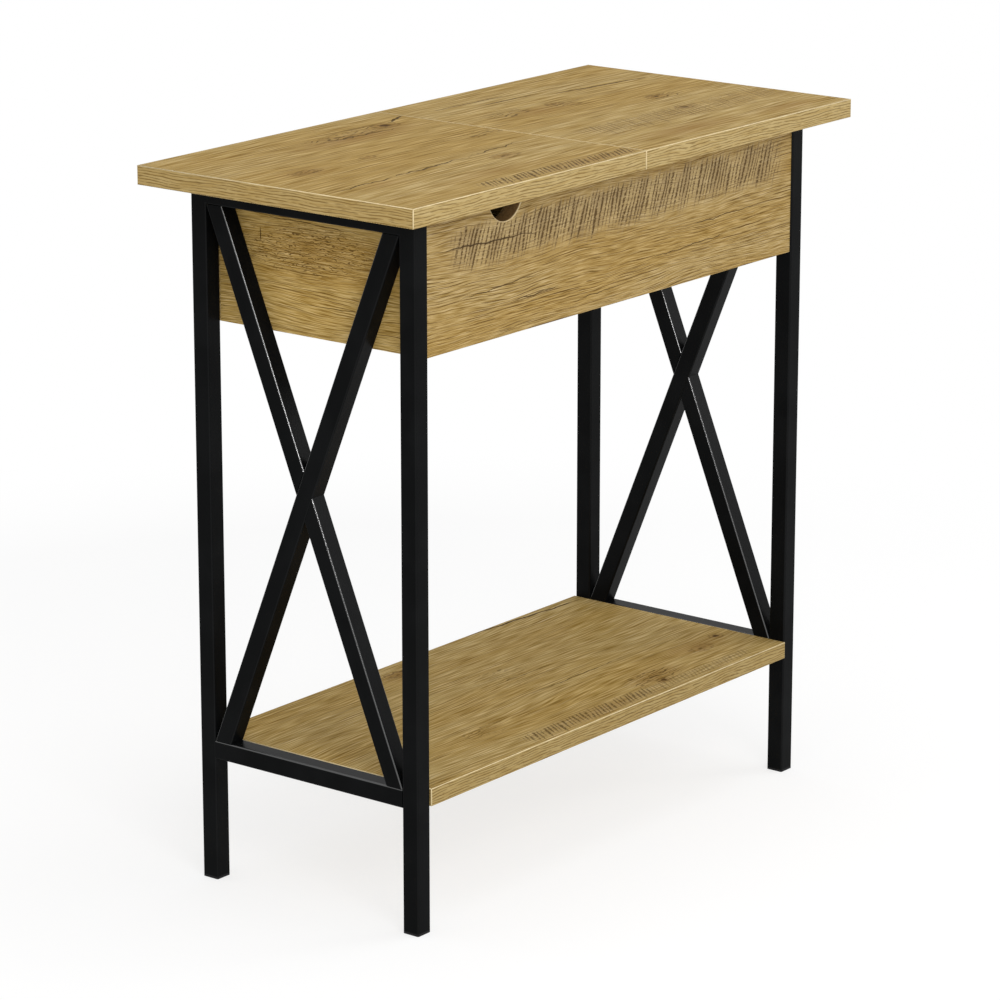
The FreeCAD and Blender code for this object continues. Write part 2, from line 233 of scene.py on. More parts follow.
def oakPrintGroup():
    tree, given, result = newGroup(
        "oakPrint", {"Vector": "Vector", "Seed": "Float", "Coarse": "Float", "Lines": "Float"},
        {"Color": "Color", "Roughness": "Float", "Height": "Float"})
    x, y, z = axes(tree, given["Vector"])
    along = calc(tree, "DIVIDE", x, given["Coarse"])
    along = calc(tree, "MULTIPLY_ADD", given["Seed"], oakLook["seedAlong"], along)
    across = calc(tree, "DIVIDE", calc(tree, "ADD", y, z), given["Coarse"])
    across = calc(tree, "MULTIPLY_ADD", given["Seed"], oakLook["seedAcross"], across)
    flat = joined(tree, along, across, 0.0)
    for size, reach in oakLook["sways"]:
        across = calc(tree, "ADD", across, sway(tree, flat, size, reach))
    bent = joined(tree, along, across, 0.0)
    tone = fade(tree, grain(tree, bent, *oakLook["toneGrain"]), *oakLook["toneFade"])
    color = blend(tree, tone, oakLook["pale"], oakLook["warm"])
    streak = grain(tree, bent, *oakLook["streakGrain"])
    fibre = grain(tree, bent, *oakLook["fibreGrain"])
    shade = calc(tree, "MULTIPLY_ADD", calc(tree, "SUBTRACT", streak, 0.5), oakLook["streak"], 1.0)
    shade = calc(tree, "MULTIPLY_ADD", calc(tree, "SUBTRACT", fibre, 0.5), oakLook["fibre"], shade)
    shade = calc(tree, "MAXIMUM", shade, oakLook["leastShade"])
    deepened = [calc(tree, "POWER", shade, power) for power in oakLook["deepen"]]
    color = blend(tree, 1.0, color, joined(tree, *deepened), "MULTIPLY")
    crowd = fade(tree, grain(tree, bent, *oakLook["crowdGrain"]), *oakLook["crowdFade"])
    gap = lineGap(tree, across, oakLook["lineSpacing"])
    body = grain(tree, bent, *oakLook["lineGrain"])
    line = calc(tree, "MULTIPLY", brokenLines(tree, gap, body, *oakLook["lineBody"]), given["Lines"])
    rimGap = calc(tree, "ABSOLUTE", calc(tree, "SUBTRACT", gap, oakLook["rimPlace"]))
    rim = brokenLines(tree, rimGap, body, *oakLook["rimBody"])
    fineGap = lineGap(tree, across, oakLook["fineSpacing"])
    fine = brokenLines(tree, fineGap, grain(tree, bent, *oakLook["fineGrain"]), *oakLook["fineBody"])
    fine = calc(tree, "MULTIPLY", fine, atLeast(tree, crowd, oakLook["leastCrowd"]))
    fine = calc(tree, "MULTIPLY", fine, given["Lines"])
    color = painted(tree, color, rim, oakLook["rim"], oakLook["light"])
    color = painted(tree, color, fine, oakLook["fineLine"], oakLook["dark"])
    color = painted(tree, color, line, oakLook["line"], oakLook["dark"])
    sunk = calc(tree, "MAXIMUM", line, calc(tree, "MULTIPLY", fine, oakLook["fineDepth"]))
    rough = calc(tree, "MULTIPLY_ADD", streak, oakLook["streakRoughness"], oakLook["roughness"])
    rough = calc(tree, "MULTIPLY_ADD", sunk, oakLook["lineRoughness"], rough)
    raised = calc(tree, "MULTIPLY", streak, oakLook["streakHeight"])
    plug(tree, result["Color"], color)
    plug(tree, result["Roughness"], rough)
    plug(tree, result["Height"], calc(tree, "SUBTRACT", raised, sunk))
    return tree


# Beaded saw strokes across the grain, in a band with ragged borders
strokeLook = {
    "sway": ((17, 60, 1), 5.5, 2.0),
    "spacing": 5.1,
    "grain": ((3.4, 30, 1), 1.0),
    "body": (0.22, 6.5, 1.9),
    "beadGrain": ((2.6, 1.9, 1), 1.0),
    "beadFade": (0.36, 0.58),
    "leastBead": 0.35,
    "clusterGrain": ((15, 60, 1), 1.0),
    "clusterFade": (0.38, 0.62),
    "leastCluster": 0.62,
    "raggedSway": ((4, 90, 1), 0.5, 2.0),
    "upperFade": (1.0, 0.6),
    "lowerFade": (-1.0, -0.1),
    "endFade": (1.0, 0.82),
    "maskFade": (0.04, 0.70),
}


def sawStrokesGroup():
    tree, given, result = newGroup(
        "sawStrokes", {"Vector": "Vector", "Half Length": "Float", "Half Width": "Float", "Lean": "Float"},
        {"Mask": "Float", "Tint": "Float", "Haze": "Float"})
    x, y = axes(tree, given["Vector"])[:2]
    along = calc(tree, "SUBTRACT", x, calc(tree, "MULTIPLY", y, given["Lean"]))
    along = calc(tree, "ADD", along, sway(tree, joined(tree, along, y, 0.0), *strokeLook["sway"]))
    leaned = joined(tree, along, y, 0.0)
    gap = lineGap(tree, along, strokeLook["spacing"])
    stroke = brokenLines(tree, gap, grain(tree, leaned, *strokeLook["grain"]), *strokeLook["body"])
    bead = fade(tree, grain(tree, leaned, *strokeLook["beadGrain"]), *strokeLook["beadFade"])
    cluster = fade(tree, grain(tree, leaned, *strokeLook["clusterGrain"]), *strokeLook["clusterFade"])
    ragged = sway(tree, leaned, *strokeLook["raggedSway"])
    reach = calc(tree, "ADD", calc(tree, "DIVIDE", y, given["Half Width"]), ragged)
    end = calc(tree, "ABSOLUTE", calc(tree, "DIVIDE", x, given["Half Length"]))
    upper = fade(tree, reach, *strokeLook["upperFade"])
    lower = fade(tree, reach, *strokeLook["lowerFade"])
    inside = calc(tree, "MULTIPLY", upper, lower)
    inside = calc(tree, "MULTIPLY", inside, fade(tree, end, *strokeLook["endFade"]))
    mask = calc(tree, "MULTIPLY", stroke, atLeast(tree, bead, strokeLook["leastBead"]))
    mask = calc(tree, "MULTIPLY", mask, atLeast(tree, cluster, strokeLook["leastCluster"]))
    mask = calc(tree, "MULTIPLY", mask, inside)
    plug(tree, result["Mask"], fade(tree, mask, *strokeLook["maskFade"]))
    plug(tree, result["Tint"], inside)
    plug(tree, result["Haze"], calc(tree, "MULTIPLY", cluster, inside))
    return tree


# A knot: a dark heart and broken rings round it
knotLook = {
    "sway": ((5, 3, 9), 0.22, 2.0),
    "ringTurn": 10.0,
    "breakGrain": ((4, 2, 9), 2.0),
    "breakFade": (0.34, 0.56),
    "ringFade": (0.08, 0.40),
    "heartFade": (0.55, 0.80),
}


def knotRingsGroup():
    tree, given, result = newGroup(
        "knotRings", {"Vector": "Vector", "Presence": "Float"}, {"Mask": "Float"})
    near = calc(tree, "ADD", given["Presence"], sway(tree, given["Vector"], *knotLook["sway"]))
    wave = calc(tree, "SINE", calc(tree, "MULTIPLY", near, knotLook["ringTurn"]))
    ring = calc(tree, "MULTIPLY_ADD", wave, 0.5, 0.5)
    broken = fade(tree, grain(tree, given["Vector"], *knotLook["breakGrain"]), *knotLook["breakFade"])
    rings = calc(tree, "MULTIPLY", ring, broken)
    rings = calc(tree, "MULTIPLY", rings, fade(tree, near, *knotLook["ringFade"]))
    heart = fade(tree, near, *knotLook["heartFade"])
    plug(tree, result["Mask"], calc(tree, "MAXIMUM", rings, heart))
    return tree


# A patch of curly, rough figure
curlLook = {
    "borderSway": ((18, 8, 9), 0.28, 2.0),
    "borderFade": (0.0, 0.45),
    "sways": [((12, 5, 9), 3.8, 2.0), ((4, 2.2, 9), 0.9, 2.0)],
    "spacing": 1.8,
    "grain": ((8, 2.6, 9), 2.0),
    "body": (0.38, 4.0, 0.42),
}


def curlyFigureGroup():
    tree, given, result = newGroup(
        "curlyFigure", {"Vector": "Vector", "Presence": "Float", "Coarse": "Float"}, {"Mask": "Float"})
    near = calc(tree, "ADD", given["Presence"], sway(tree, given["Vector"], *curlLook["borderSway"]))
    scaled = vectorCalc(tree, "DIVIDE", given["Vector"], given["Coarse"])
    across = axes(tree, scaled)[1]
    for curlSway in curlLook["sways"]:
        across = calc(tree, "ADD", across, sway(tree, scaled, *curlSway))
    gap = lineGap(tree, across, curlLook["spacing"])
    curl = brokenLines(tree, gap, grain(tree, scaled, *curlLook["grain"]), *curlLook["body"])
    plug(tree, result["Mask"], calc(tree, "MULTIPLY", curl, fade(tree, near, *curlLook["borderFade"])))
    return tree


oakPrint = oakPrintGroup()
sawStrokes = sawStrokesGroup()
knotRings = knotRingsGroup()
curlyFigure = curlyFigureGroup()

flatBoard = (0, 0, 0)
frontBoard = (-90, 0, 0)
endBoard = (-90, -90, 0)
grainAlongX = (0, 0, 0)
grainAlongY = (0, 0, -90)

# Colours of the marks on a board, and how strongly each is laid on
markLook = {
    "stroke": (0.104, 0.058, 0.015, 1),
    "haze": (0.235, 0.158, 0.074, 1),
    "sawn": (0.550, 0.428, 0.222, 1),
    "heart": (0.074, 0.034, 0.004, 1),
    "halo": (0.295, 0.160, 0.036, 1),
    "crack": (0.055, 0.028, 0.006, 1),
    "hazeShare": 0.40,
    "sawnShare": 0.45,
    "curlShare": 0.80,
    "knotShare": 0.95,
    "haloShare": 0.75,
    "crackShare": 0.90,
    "crackCell": (24, 1, 1),
    "crackDetail": 4.0,
    "crackGrain": ((8, 8, 8), 1.0),
    "crackFade": (0.0, 0.22),
    "crackDepth": 2.0,
    "endless": 1e6,
}


# How deep a point lies in a board's oval marks: a mark's depth in its middle, 0 on its border
def presence(tree, face, marks):
    deepest = 0.0
    for x, y, length, width, angle, depth in marks:
        local = placed(tree, face, (x, y), angle, (length / 2, width / 2, markLook["endless"]))
        far = distance(tree, local)
        deepest = calc(tree, "MAXIMUM", deepest, calc(tree, "MULTIPLY_ADD", far, -depth, depth))
    return deepest


# One oak finish. Its marks are placed in millimetres on the board's face.
def oakMaterial(name, look, grainTurn, markTurn, marks):
    material, tree, shader = newMaterial(name, {"Specular IOR Level": look["gloss"]})
    printed = useGroup(tree, oakPrint, {
        "Vector": coordsIn(tree, grainTurn), "Seed": look["seed"], "Coarse": look["coarse"],
        "Lines": look["lines"]})
    color = printed["Color"]
    height = printed["Height"]
    face = coordsIn(tree, markTurn)
    if "tints" in marks:
        color = blend(tree, presence(tree, face, marks["tints"]), color, markLook["halo"])
    if "curls" in marks:
        inside = presence(tree, face, marks["curls"])
        mask = useGroup(tree, curlyFigure, {"Vector": face, "Presence": inside, "Coarse": look["curl"]})[0]
        color = painted(tree, color, mask, markLook["curlShare"], markLook["heart"])
        height = calc(tree, "SUBTRACT", height, mask)
    if "knots" in marks:
        inside = presence(tree, face, marks["knots"])
        color = painted(tree, color, inside, markLook["haloShare"], markLook["halo"])
        mask = useGroup(tree, knotRings, {"Vector": face, "Presence": inside})[0]
        color = painted(tree, color, mask, markLook["knotShare"], markLook["heart"])
        height = calc(tree, "SUBTRACT", height, mask)
    for x, y, length, width, angle, lean, depth, bleach in marks.get("saws", ()):
        made = useGroup(tree, sawStrokes, {
            "Vector": placed(tree, face, (x, y), angle), "Half Length": length / 2, "Half Width": width / 2,
            "Lean": lean})
        color = painted(tree, color, made["Tint"], markLook["sawnShare"] * bleach, markLook["sawn"])
        color = painted(tree, color, made["Haze"], markLook["hazeShare"] * bleach, markLook["haze"])
        color = painted(tree, color, made["Mask"], depth, markLook["stroke"])
        height = calc(tree, "SUBTRACT", height, made["Mask"])
    if "cracks" in marks:
        along = joined(tree, axes(tree, face)[0], 0.0, 0.0)
        bend = sway(tree, along, markLook["crackCell"], marks["wander"], markLook["crackDetail"])
        bent = vectorCalc(tree, "ADD", face, joined(tree, 0.0, bend, 0.0))
        inside = presence(tree, bent, marks["cracks"])
        broken = calc(tree, "MULTIPLY", inside, grain(tree, face, *markLook["crackGrain"]))
        mask = fade(tree, broken, *markLook["crackFade"])
        color = painted(tree, color, mask, markLook["crackShare"], markLook["crack"])
        height = calc(tree, "MULTIPLY_ADD", mask, -markLook["crackDepth"], height)
    # each board's tone; on the end boards and the top's end bands part of it is painted light and shade
    color = blend(tree, 1.0, color, look["tone"], "MULTIPLY")
    finishSurface(tree, shader, color, printed["Roughness"], height, *oakLook["bump"])
    return material


# Printed edge bands: closer and crisper lines than the boards
bandLook = {
    "pale": (0.520, 0.388, 0.170, 1),
    "warm": (0.440, 0.306, 0.112, 1),
    "dark": (0.150, 0.086, 0.018, 1),
    "sways": [((70, 14, 1), 3.0), ((17, 5, 1), 0.8)],
    "streakGrain": ((34, 1.5, 1), 2.0, 0.6),
    "streakFade": (0.36, 0.62),
    "lineSpacing": 2.3,
    "lineGrain": ((14, 1.6, 1), 2.0),
    "lineBody": (0.34, 3.0, 0.60),
    "line": 0.70,
    "dashGrain": ((9, 1.1, 1), 2.0),
    "dashFade": (0.54, 0.70),
    "dash": 0.35,
    "roughness": 0.46,
    "lineRoughness": 0.15,
    "streakHeight": 0.4,
    "gloss": 0.10,
    "bump": (0.15 * mm, 0.4),
}


def bandPrintGroup():
    tree, given, result = newGroup(
        "bandPrint", {"Vector": "Vector"}, {"Color": "Color", "Roughness": "Float", "Height": "Float"})
    x, y, z = axes(tree, given["Vector"])
    across = calc(tree, "ADD", y, z)
    flat = joined(tree, x, across, 0.0)
    for size, reach in bandLook["sways"]:
        across = calc(tree, "ADD", across, sway(tree, flat, size, reach))
    bent = joined(tree, x, across, 0.0)
    streak = grain(tree, bent, *bandLook["streakGrain"])
    color = blend(tree, fade(tree, streak, *bandLook["streakFade"]), bandLook["warm"], bandLook["pale"])
    gap = lineGap(tree, across, bandLook["lineSpacing"])
    line = brokenLines(tree, gap, grain(tree, bent, *bandLook["lineGrain"]), *bandLook["lineBody"])
    dash = fade(tree, grain(tree, bent, *bandLook["dashGrain"]), *bandLook["dashFade"])
    color = painted(tree, color, line, bandLook["line"], bandLook["dark"])
    color = painted(tree, color, dash, bandLook["dash"], bandLook["dark"])
    rough = calc(tree, "MULTIPLY_ADD", line, bandLook["lineRoughness"], bandLook["roughness"])
    raised = calc(tree, "MULTIPLY", streak, bandLook["streakHeight"])
    plug(tree, result["Color"], color)
    plug(tree, result["Roughness"], rough)
    plug(tree, result["Height"], calc(tree, "SUBTRACT", raised, line))
    return tree


bandPrint = bandPrintGroup()


def bandMaterial(name, turn, tone):
    material, tree, shader = newMaterial(name, {"Specular IOR Level": bandLook["gloss"]})
    look = useGroup(tree, bandPrint, {"Vector": coordsIn(tree, turn)})
    color = blend(tree, 1.0, look["Color"], tone, "MULTIPLY")
    finishSurface(tree, shader, color, look["Roughness"], look["Height"], *bandLook["bump"])
    return material


# Plain stuff with a faint cloud: the bands' bare core, raw board in cuts (made darker as painted shade),
# plastic and dowels
cloudLook = {
    "detail": 3.0,
    "crumble": 0.6,
    "fade": (0.34, 0.66),
    "roughness": 0.42,
    "speckRoughness": 0.2,
    "bump": (0.08 * mm, 0.3),
}


def cloudMaterial(name, first, second, size, values):
    material, tree, shader = newMaterial(name, values)
    speck = grain(tree, coordsIn(tree, flatBoard), size, cloudLook["detail"], cloudLook["crumble"])
    color = blend(tree, fade(tree, speck, *cloudLook["fade"]), first, second)
    rough = calc(tree, "MULTIPLY_ADD", speck, cloudLook["speckRoughness"], cloudLook["roughness"])
    finishSurface(tree, shader, color, rough, speck, *cloudLook["bump"])
    return material


# Satin black powder coat with orange peel. The tubes' corners, the upward ones most, get a glossy coat:
# painted sheen, laid where the lamps' glints should fall
coatLook = {
    "black": (0.0030, 0.0033, 0.0035, 1),
    "cloudy": (0.0048, 0.0052, 0.0055, 1),
    "cloudGrain": ((40, 40, 40), 2.0),
    "cloudFade": (0.35, 0.65),
    "peelGrain": ((0.9, 0.9, 0.9), 2.0, 0.6),
    "cornerFrom": (0.10, 0.40),
    "cornerTo": (0.995, 0.92),
    "upwardFade": (0.04, 0.20),
    "lower": 0.06,
    "upper": 1.0,
    "roughness": 0.27,
    "peelRoughness": 0.12,
    "bump": (0.05 * mm, 0.3),
    "shader": {"Specular IOR Level": 0.032, "Coat Roughness": 0.15, "Coat IOR": 1.8},
}


def powderCoatGroup():
    tree, given, result = newGroup(
        "powderCoat", {"Vector": "Vector", "Normal": "Vector"},
        {"Color": "Color", "Roughness": "Float", "Height": "Float", "Gloss": "Float"})
    peel = grain(tree, given["Vector"], *coatLook["peelGrain"])
    cloud = grain(tree, given["Vector"], *coatLook["cloudGrain"])
    normal = axes(tree, given["Normal"])
    side = calc(tree, "ABSOLUTE", normal["X"])
    corner = fade(tree, side, *coatLook["cornerFrom"])
    corner = calc(tree, "MULTIPLY", corner, fade(tree, side, *coatLook["cornerTo"]))
    upward = fade(tree, normal["Z"], *coatLook["upwardFade"])
    # painted sheen: the glossy coat is strongest on corners that face up
    paintedSheen = calc(tree, "MULTIPLY_ADD", upward, coatLook["upper"], coatLook["lower"])
    color = blend(tree, fade(tree, cloud, *coatLook["cloudFade"]), coatLook["black"], coatLook["cloudy"])
    rough = calc(tree, "MULTIPLY_ADD", peel, coatLook["peelRoughness"], coatLook["roughness"])
    plug(tree, result["Color"], color)
    plug(tree, result["Roughness"], rough)
    plug(tree, result["Height"], peel)
    plug(tree, result["Gloss"], calc(tree, "MULTIPLY", corner, paintedSheen))
    return tree


powderCoat = powderCoatGroup()


def coatMaterial(name):
    material, tree, shader = newMaterial(name, coatLook["shader"])
    normal = addNode(tree, "TexCoord", {}).outputs["Normal"]
    look = useGroup(tree, powderCoat, {"Vector": coordsIn(tree, flatBoard), "Normal": normal})
    plug(tree, shader.inputs["Coat Weight"], look["Gloss"])
    finishSurface(tree, shader, look["Color"], look["Roughness"], look["Height"], *coatLook["bump"])
    return material


# Zinc plate with faint spangle and drawn lines
zincLook = {
    "dull": (0.50, 0.50, 0.49, 1),
    "bright": (0.66, 0.66, 0.63, 1),
    "spangleGrain": ((2.6, 2.6, 2.6), 3.0, 0.6),
    "spangleFade": (0.3, 0.7),
    "drawnGrain": ((14, 0.25, 0.25), 2.0),
    "roughness": 0.18,
    "spangleRoughness": 0.16,
    "drawnRoughness": 0.22,
    "bump": (0.03 * mm, 0.3),
}


def zincMaterial(name):
    material, tree, shader = newMaterial(name, {"Metallic": 1.0})
    point = coordsIn(tree, flatBoard)
    spangle = grain(tree, point, *zincLook["spangleGrain"])
    drawn = grain(tree, point, *zincLook["drawnGrain"])
    color = blend(tree, fade(tree, spangle, *zincLook["spangleFade"]), zincLook["dull"], zincLook["bright"])
    rough = calc(tree, "MULTIPLY_ADD", spangle, zincLook["spangleRoughness"], zincLook["roughness"])
    rough = calc(tree, "MULTIPLY_ADD", drawn, zincLook["drawnRoughness"], rough)
    finishSurface(tree, shader, color, rough, drawn, *zincLook["bump"])
    return material


# Marks of the boards: x, y, length, width, angle and depth.
# Saws have a lean before the depth and a bleach after it. Cracks wander this far to either side.
lidMarks = {
    "tints": [(-100, 80, 200, 44, 0, 0.75), (-240, -62, 60, 22, 0, 0.5), (-150, -100, 170, 36, 0, 0.4),
              (-240, 16, 80, 40, 0, 0.5), (-60, -131, 180, 28, 0, 0.6)],
    "curls": [(-100, 92, 130, 34, 2, 0.9), (-65, 97, 80, 34, 0, 0.8), (-30, 12, 110, 34, 0, 0.45),
              (-242, 16, 60, 26, 0, 0.5)],
    "knots": [(-45, 96, 38, 26, 0, 0.95), (-242, 16, 46, 18, 0, 0.6), (-162, 18, 26, 16, 0, 0.6),
              (-88, -65, 44, 24, 0, 0.8)],
    "saws": [(-98, -131, 215, 27, 0, 0.7, 0.9, 0.35)],
    "cracks": [(-17, 108, 46, 4.0, 22, 1), (-250, -52, 90, 2.4, 2, 0.9), (-165, -48, 130, 3.0, 2, 1),
               (-70, -40, 90, 2.4, 6, 0.9), (-95, 84, 110, 2.6, -3, 0.9)],
    "wander": 9.0,
}
fixedTopMarks = {
    "tints": [(105, -112, 180, 40, 0, 0.7), (90, 36, 90, 36, 0, 0.6), (240, -118, 120, 34, 0, 0.5)],
    "curls": [(62, 47, 76, 30, 0, 0.9), (215, -4, 70, 28, 0, 0.6), (128, 40, 60, 34, 0, 0.5)],
    "knots": [(123, 46, 30, 18, 0, 0.7), (135, 33, 26, 16, 0, 0.6), (208, -2, 36, 20, 0, 0.8),
              (181, -51, 26, 20, 0, 0.95)],
    "saws": [(163, -66, 290, 54, 0, 0.5, 0.45, 0.25)],
    "cracks": [(112, 89, 90, 2.4, -2, 1), (225, 69, 160, 3.4, -7, 1), (80, 105, 130, 2.0, -2, 1)],
    "wander": 3.0,
}
frontMarks = {
    "saws": [(8, 558, 490, 47, 0.9, 0.36, 0.95, 0.95)],
    "cracks": [(-175, 559, 160, 1.7, -2, 0.9), (-160, 520, 140, 1.0, 2, 0.7), (-110, 506, 80, 1.1, 3, 0.7),
               (105, 510, 170, 1.0, 2, 0.7), (150, 528, 160, 1.0, 1, 0.6), (-25, 492, 100, 1.0, 2, 0.6)],
    "wander": 4.0,
}
endMarks = {
    "tints": [(0, 548, 190, 60, 0, 0.35)],
    "curls": [(5, 549, 190, 54, -2, 0.85), (30, 546, 100, 34, 0, 0.8)],
    "cracks": [(0, 571, 160, 1.0, 2, 0.6), (-20, 505, 120, 0.9, -1, 0.6), (56, 556, 13, 1.4, 88, 0.9)],
    "wander": 3.0,
}
shelfMarks = {
    "tints": [(190, -62, 100, 34, 0, 0.6), (100, -84, 100, 40, 0, 0.6), (-35, 93, 70, 30, 0, 0.6),
              (-10, -104, 200, 30, 0, 0.55)],
    "curls": [(17, 16, 120, 76, 0, 0.32), (97, -85, 84, 38, 0, 0.9), (-112, -57, 100, 36, 0, 0.35),
              (-35, 94, 66, 28, 0, 0.7)],
    "knots": [(229, -58, 20, 16, 0, 1.0), (192, -69, 40, 20, 0, 0.75), (96, -97, 20, 15, 0, 1.0),
              (-35, 94, 34, 18, 0, 0.7)],
    "saws": [(-21, -105, 190, 26, 0, 0.6, 0.8, 0.2), (120, -107, 200, 20, 0, 0.6, 0.4, 0.1)],
    "cracks": [(165, 112, 190, 3.4, -4, 1), (60, -30, 190, 1.6, 0, 0.7)],
    "wander": 4.0,
}

topLook = {
    "seed": 1, "coarse": 2.2, "curl": 2.6, "lines": 0.45, "tone": (0.95, 0.94, 0.92, 1), "gloss": 0.02,
}
shelfLook = {
    "seed": 3, "coarse": 1.7, "curl": 2.0, "lines": 0.55, "tone": (1.0, 1.01, 1.01, 1), "gloss": 0.02,
}
frontLook = {
    "seed": 4, "coarse": 1.0, "curl": 1.0, "lines": 1.0, "tone": (0.90, 0.88, 0.88, 1), "gloss": 0.10,
}
# The end boards' tone is warmer than the rest and 8 % lighter; the lift is painted light against the shade
# under the top's overhang
endLook = {
    "seed": 5, "coarse": 0.95, "curl": 1.0, "lines": 0.9, "tone": (1.08, 1.04, 0.91, 1), "gloss": 0.10,
}
oakLid = oakMaterial("oakLid", topLook, grainAlongX, flatBoard, lidMarks)
oakFixedTop = oakMaterial("oakFixedTop", {**topLook, "seed": 2}, grainAlongX, flatBoard, fixedTopMarks)
oakShelf = oakMaterial("oakShelf", shelfLook, grainAlongX, flatBoard, shelfMarks)
oakFront = oakMaterial("oakFront", frontLook, grainAlongX, frontBoard, frontMarks)
oakEnd = oakMaterial("oakEnd", endLook, grainAlongY, endBoard, endMarks)
oakInside = oakMaterial("oakInside", {**frontLook, "seed": 6}, grainAlongX, flatBoard, {})
# The top's end bands are a darker copy of its long bands: painted shade on the end sides. The shelf's bands
# are darker copies of the top's
topBands = [
    bandMaterial("topBandLong", grainAlongX, (1.01, 1.01, 1.01, 1)),
    bandMaterial("topBandEnd", grainAlongY, (0.96, 0.92, 0.84, 1)),
]
shelfBands = [
    bandMaterial("shelfBandLong", grainAlongX, (0.86, 0.84, 0.77, 1)),
    bandMaterial("shelfBandEnd", grainAlongY, (0.88, 0.86, 0.79, 1)),
]
bandCore = cloudMaterial(
    "bandCore", (0.66, 0.52, 0.28, 1), (0.78, 0.64, 0.38, 1), (9, 9, 9), {"Specular IOR Level": 0.2})
# Raw board for cut faces, darker than bare board is: painted shade for the shadowed inside of the finger
# notch
rawBoardAndShade = cloudMaterial(
    "rawBoardAndShade", (0.150, 0.090, 0.036, 1), (0.250, 0.160, 0.070, 1), (1.6, 1.6, 1.6), {})
plastic = cloudMaterial(
    "mouldedPlastic", (0.0035, 0.0035, 0.0038, 1), (0.0070, 0.0070, 0.0074, 1), (0.6, 0.6, 0.6),
    {"Specular IOR Level": 0.15})
dowelBeech = cloudMaterial(
    "beechDowel", (0.60, 0.43, 0.26, 1), (0.44, 0.28, 0.15, 1), (1.2, 6, 6), {})
coat = coatMaterial("powderCoatBlack")
zinc = zincMaterial("zincPlate")
print("materials built:", len(bpy.data.materials))


# Modelling helpers; the first gives the faces or edges at some vertices, each once and in a fixed order
def linked(verts, kind):
    return list(dict.fromkeys(item for vert in verts for item in getattr(vert, kind)))


def addBox(bm, low, high):
    verts = bmesh.ops.create_cube(bm, size=1.0)["verts"]
    bmesh.ops.scale(bm, vec=high - low, verts=verts)
    bmesh.ops.translate(bm, vec=(low + high) / 2, verts=verts)
    return linked(verts, "link_faces")


def roundOver(bm, edges, width, segments, slot):
    made = bmesh.ops.bevel(bm, geom=edges, offset=width, segments=segments, profile=0.5,
                           affect="EDGES", material=-1, clamp_overlap=True)
    for face in made["faces"]:
        face.material_index = slot
        face.smooth = True


def finishPiece(name, bm, materials, body, nodes):
    mesh = bpy.data.meshes.new(name)
    bm.to_mesh(mesh)
    bm.free()
    for material in materials:
        mesh.materials.append(material)
    piece = bpy.data.objects.new(name, mesh)
    bpy.context.scene.collection.objects.link(piece)
    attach(piece, body)
    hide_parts(*nodes)
    return piece


# Boxes of the separate solids in a CAD node
def solidBoxes(node):
    bm = bmesh.new()
    bm.from_mesh(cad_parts[node].data)
    bmesh.ops.remove_doubles(bm, verts=bm.verts[:], dist=weld)
    boxes = []
    found = set()
    for first in bm.verts:
        if first in found:
            continue
        found.add(first)
        island = [first]
        for vert in island:
            near = [edge.other_vert(vert) for edge in vert.link_edges]
            fresh = [other for other in near if other not in found]
            found.update(fresh)
            island.extend(fresh)
        places = [vert.co.copy() for vert in island]
        low = Vector([min(values) for values in zip(*places)])
        high = Vector([max(values) for values in zip(*places)])
        boxes.append((low, high))
    bm.free()
    return boxes


# Edge bands: four strips whose outer corners are trimmed round, so that the pale core shows there.
# Directions count as one above the cosine "aligned". Faces that look down past "underside" stay printed.
bandSizes = {
    "longTrim": 0.6 * mm, "endTrim": 0.6 * mm, "seamTrim": 0.25 * mm, "segments": 3,
    "aligned": 0.9, "underside": -0.2,
}
bandSlots = {"long": 0, "end": 1, "core": 2}


def isUpright(edge):
    return abs((edge.verts[0].co - edge.verts[1].co).normalized().z) > bandSizes["aligned"]


def edgeBands(name, bandNode, boardNode, body, seamSide, prints):
    low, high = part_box(bandNode)
    boardLow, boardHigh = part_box(boardNode)
    frontEnd = Vector((high.x, boardLow.y, high.z))
    backStart = Vector((low.x, boardHigh.y, low.z))
    leftStart = Vector((low.x, boardLow.y, low.z))
    leftEnd = Vector((boardLow.x, boardHigh.y, high.z))
    rightStart = Vector((boardHigh.x, boardLow.y, low.z))
    rightEnd = Vector((high.x, boardHigh.y, high.z))
    strips = [
        (low, frontEnd, Vector((0, -1, 0)), bandSlots["long"]),
        (backStart, high, Vector((0, 1, 0)), bandSlots["long"]),
        (leftStart, leftEnd, Vector((-1, 0, 0)), bandSlots["end"]),
        (rightStart, rightEnd, Vector((1, 0, 0)), bandSlots["end"]),
    ]
    bm = bmesh.new()
    for stripLow, stripHigh, outward, printSlot in strips:
        isLong = printSlot == bandSlots["long"]
        trimmed = []
        faces = addBox(bm, stripLow, stripHigh)
        for face in faces:
            face.normal_update()
            face.material_index = printSlot
            if face.normal.dot(outward) > bandSizes["aligned"]:
                trimmed = [edge for edge in face.edges if isLong or not isUpright(edge)]
        trim = bandSizes["longTrim"] if isLong else bandSizes["endTrim"]
        if outward.x * seamSide > 0:
            trim = bandSizes["seamTrim"]
        roundOver(bm, trimmed, trim, bandSizes["segments"], bandSlots["core"])
    for face in bm.faces:
        face.normal_update()
        if face.normal.z < bandSizes["underside"]:
            face.material_index = bandSlots["long"]
    finishPiece(name, bm, prints + [bandCore], body, [bandNode])


edgeBands("lidEdgeBands", "lid_edge_bands", "lid_board", "lid", 1, topBands)
edgeBands("fixedTopEdgeBands", "fixed_top_edge_bands", "fixed_top_board", "table", -1, topBands)
edgeBands("shelfEdgeBands", "shelf_edge_bands", "shelf_board", "table", 0, shelfBands)
print("edge bands trimmed")


